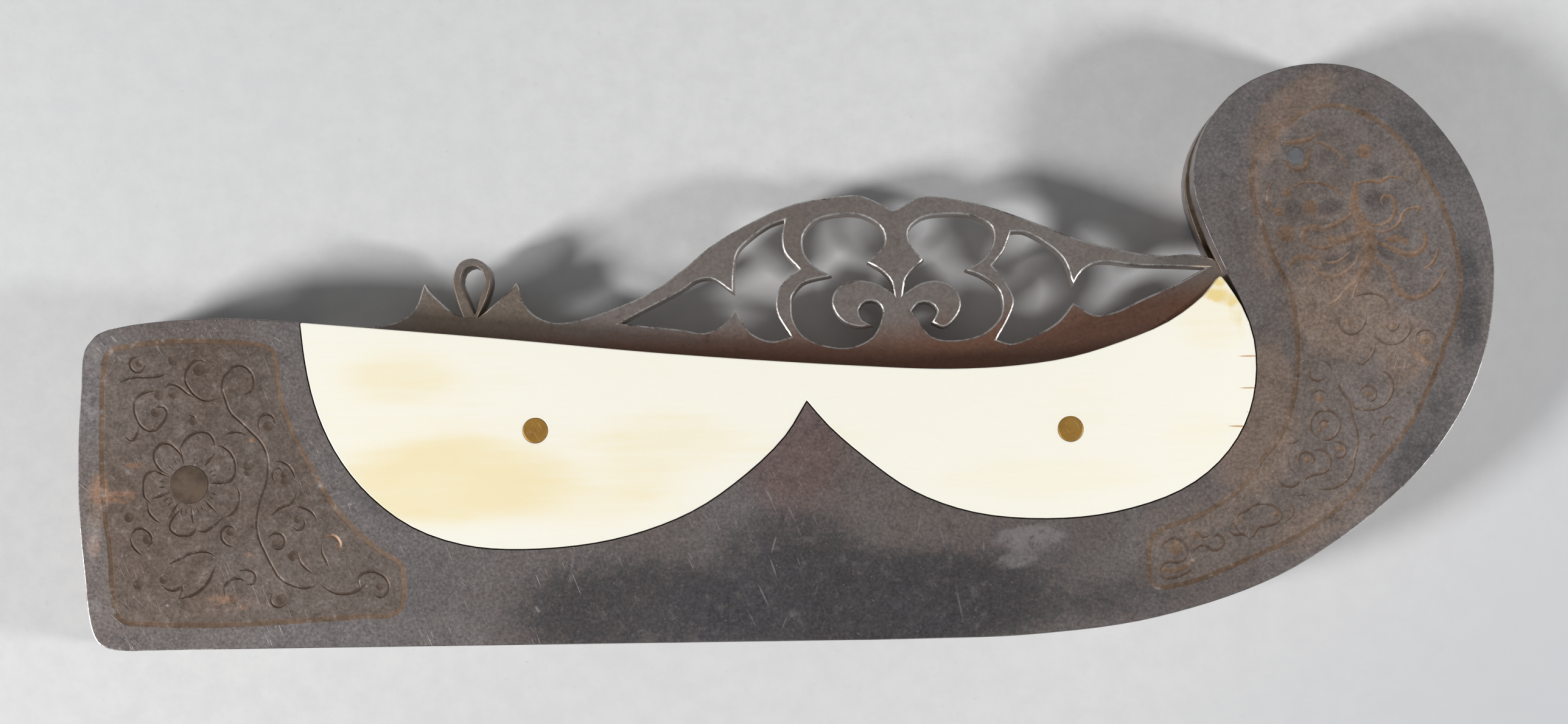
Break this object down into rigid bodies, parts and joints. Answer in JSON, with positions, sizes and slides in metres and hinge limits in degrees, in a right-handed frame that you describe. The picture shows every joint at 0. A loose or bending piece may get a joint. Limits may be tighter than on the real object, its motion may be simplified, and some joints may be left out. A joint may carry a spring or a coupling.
{
  "type": "pocket knife",
  "caption": "Flat folding knife, closed, with engraved steel plates, a curled butt, ivory grip lobes and a pierced scroll crest along the blade's back.",
  "frame": {"origin": "on the back plate's outer face, under the middle of the closed knife's outline", "axes": "+X from the bolster to the curled butt, +Y from the keel to the mouth, +Z from the back plate to the front plate"},
  "size_m": [0.152, 0.061, 0.0096],
  "materials": {
    "engraved_plate": "browned and worn, finely engraved",
    "liner_steel": "dull",
    "ivory": "polished, yellowed in patches",
    "brass_pin": "tarnished",
    "spring_steel": "browned",
    "rivet_steel": "peened flush",
    "blade_steel": "warm grey with reddish brown patches"
  },
  "bodies": {
    "handle": {"front_cover": "engraved_plate", "back_cover": "engraved_plate", "front_liner": "liner_steel", "back_liner": "liner_steel", "front_scale": "ivory", "back_scale": "ivory", "front_scale_pin_left": "brass_pin", "front_scale_pin_right": "brass_pin", "back_scale_pin_left": "brass_pin", "back_scale_pin_right": "brass_pin", "back_spring": "spring_steel", "butt_spacer": "spring_steel", "pivot_pin": "rivet_steel", "spring_rivet_middle": "rivet_steel", "spring_rivet_rear": "rivet_steel", "butt_rivet_lower": "rivet_steel", "butt_rivet_upper": "rivet_steel"},
    "blade": {"blade": "blade_steel", "lifting_loop": "blade_steel"}
  },
  "joints": [
    {"name": "blade_pivot", "type": "hinge", "parent": "handle", "child": "blade", "pos_m": [-0.06393, -0.01279, 0.0048], "axis": [0, 0, 1], "range_deg": [0, 180], "deforming": ["back_spring"]}
  ]
}
